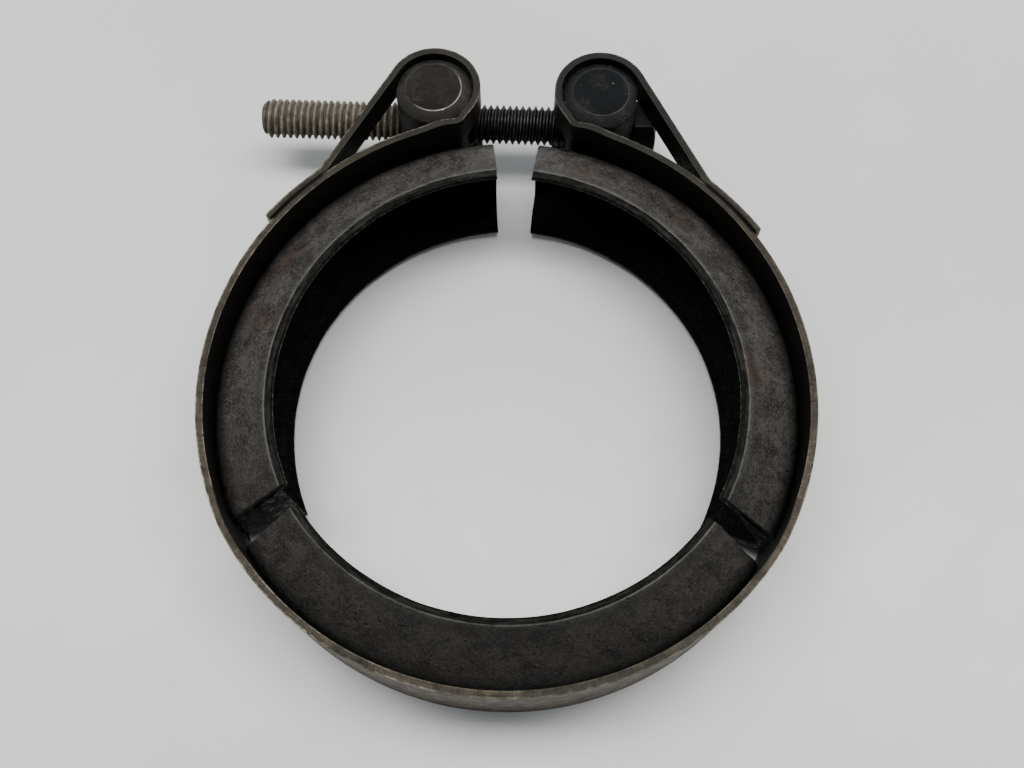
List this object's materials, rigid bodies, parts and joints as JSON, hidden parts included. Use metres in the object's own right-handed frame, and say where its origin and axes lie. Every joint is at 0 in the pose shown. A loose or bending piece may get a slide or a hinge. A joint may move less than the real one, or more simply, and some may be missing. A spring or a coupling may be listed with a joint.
{
  "type": "v band clamp",
  "caption": "V band clamp for exhaust flanges: a spring steel strap looped round barrel trunnions, V channels welded inside it, and a bolt that draws the loops together.",
  "frame": {"origin": "centre of the round bottom stretch of the ring, half way up the strap, which is the middle of the V groove", "axes": "+Z along the axis of the clamped pipe, +Y from the ring towards the bolt, +X along the bolt towards its head"},
  "size_m": [0.0832, 0.0949, 0.019],
  "materials": {
    "strap_steel": "heat-stained and dull",
    "channel_steel": "dark oxidised, worn bright along the ridge",
    "trunnion_steel": "dark oxide",
    "bolt_steel": "black oxide, dusty thread"
  },
  "bodies": {
    "ring": {"band": "strap_steel", "v_channel_bottom": "channel_steel"},
    "right_arm": {"v_channel_right": "channel_steel"},
    "left_arm": {"v_channel_left": "channel_steel"},
    "right_trunnion": {"trunnion_right": "trunnion_steel"},
    "left_trunnion": {"trunnion_left": "trunnion_steel"},
    "bolt": {"bolt": "bolt_steel"}
  },
  "joints": [
    {"name": "right_arm_flex", "type": "hinge", "parent": "ring", "child": "right_arm", "pos_m": [0.03573, -0.02254, 0], "axis": [0, 0, 1], "range_deg": [-7.67, 2.17], "deforming": ["band"]},
    {"name": "left_arm_flex", "type": "hinge", "parent": "ring", "child": "left_arm", "pos_m": [-0.03573, -0.02254, 0], "axis": [0, 0, -1], "range_deg": [-7.67, 2.17], "deforming": ["band"]},
    {"name": "right_trunnion_pivot", "type": "hinge", "parent": "right_arm", "child": "right_trunnion", "pos_m": [0.0125, 0.04516, 0], "axis": [0, 0, -1], "range_deg": [-7.67, 2.17]},
    {"name": "left_trunnion_pivot", "type": "hinge", "parent": "left_arm", "child": "left_trunnion", "pos_m": [-0.0125, 0.04516, 0], "axis": [0, 0, 1], "range_deg": [-7.67, 2.17]},
    {"name": "bolt_turn", "type": "hinge", "parent": "right_trunnion", "child": "bolt", "pos_m": [0.0125, 0.04516, 0], "axis": [-1, 0, 0], "range_deg": [-6480, 1800]}
  ],
  "couplings": [
    {"joint": "right_arm_flex", "follows": "bolt_turn", "ratio": 0.0011753},
    {"joint": "left_arm_flex", "follows": "bolt_turn", "ratio": 0.0011753},
    {"joint": "right_trunnion_pivot", "follows": "bolt_turn", "ratio": 0.0011753},
    {"joint": "left_trunnion_pivot", "follows": "bolt_turn", "ratio": 0.0011753}
  ]
}
